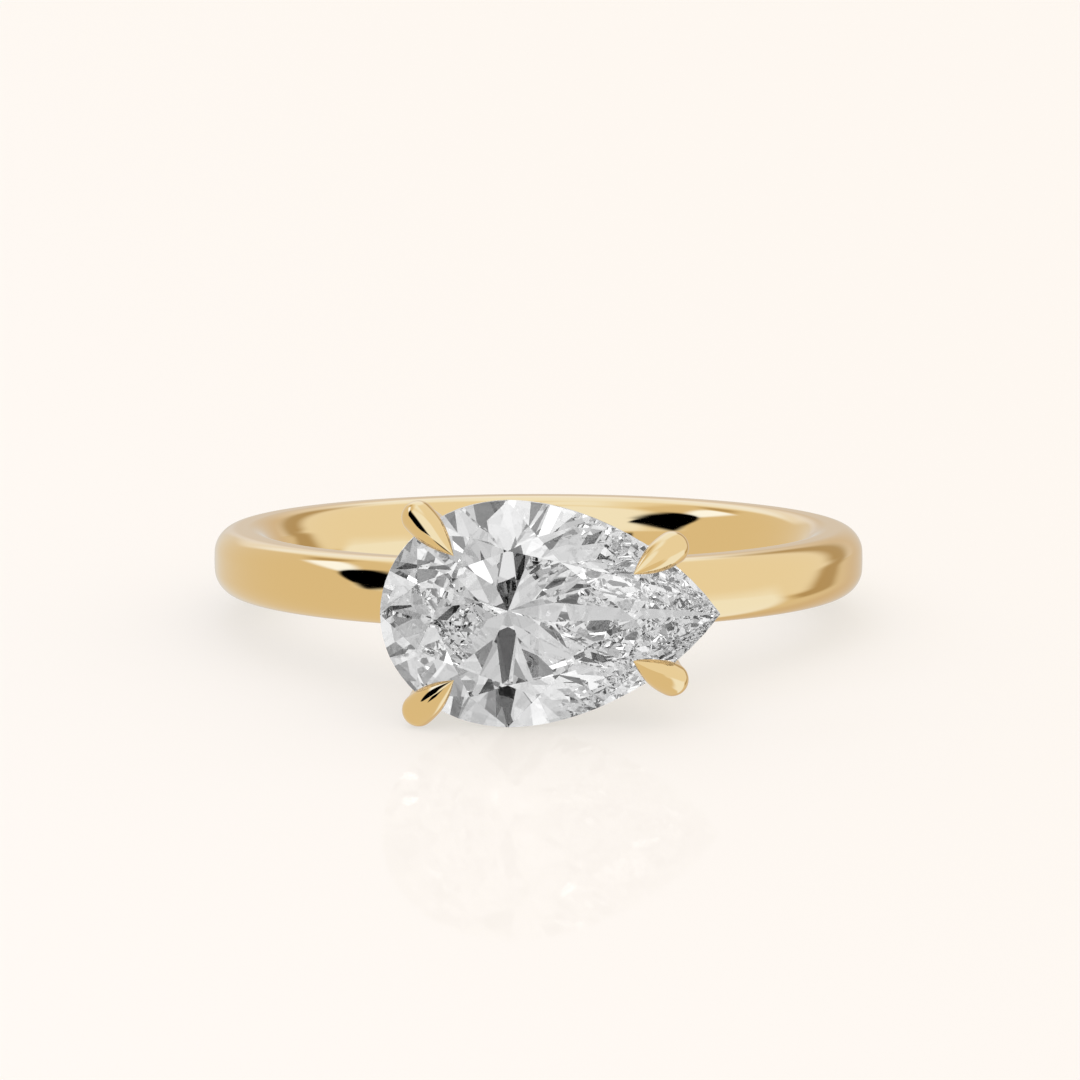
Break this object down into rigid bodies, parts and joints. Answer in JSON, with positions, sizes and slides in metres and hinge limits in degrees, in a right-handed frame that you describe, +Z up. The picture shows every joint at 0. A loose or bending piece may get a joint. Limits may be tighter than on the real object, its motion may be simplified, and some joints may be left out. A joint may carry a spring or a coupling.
{
  "type": "east west solitaire ring",
  "caption": "Solitaire ring: a clear pear-cut stone set crosswise on a plain soft-edged band, held by talon claws over an open basket, lying on its side.",
  "frame": {"origin": "on the surface that the ring lies on, under the middle of its outline from above", "axes": "+Z up from the surface, +X along the stone towards its point, -Y the way the stone's table faces, +Y towards the far side of the band"},
  "size_m": [0.02, 0.0248, 0.0065],
  "materials": {
    "gold": "mirror-polished 18 carat yellow gold",
    "stone": "colourless diamond, cut and polished"
  },
  "bodies": {
    "root": {"mounting": "gold", "pear_stone": "stone"}
  },
  "joints": []
}
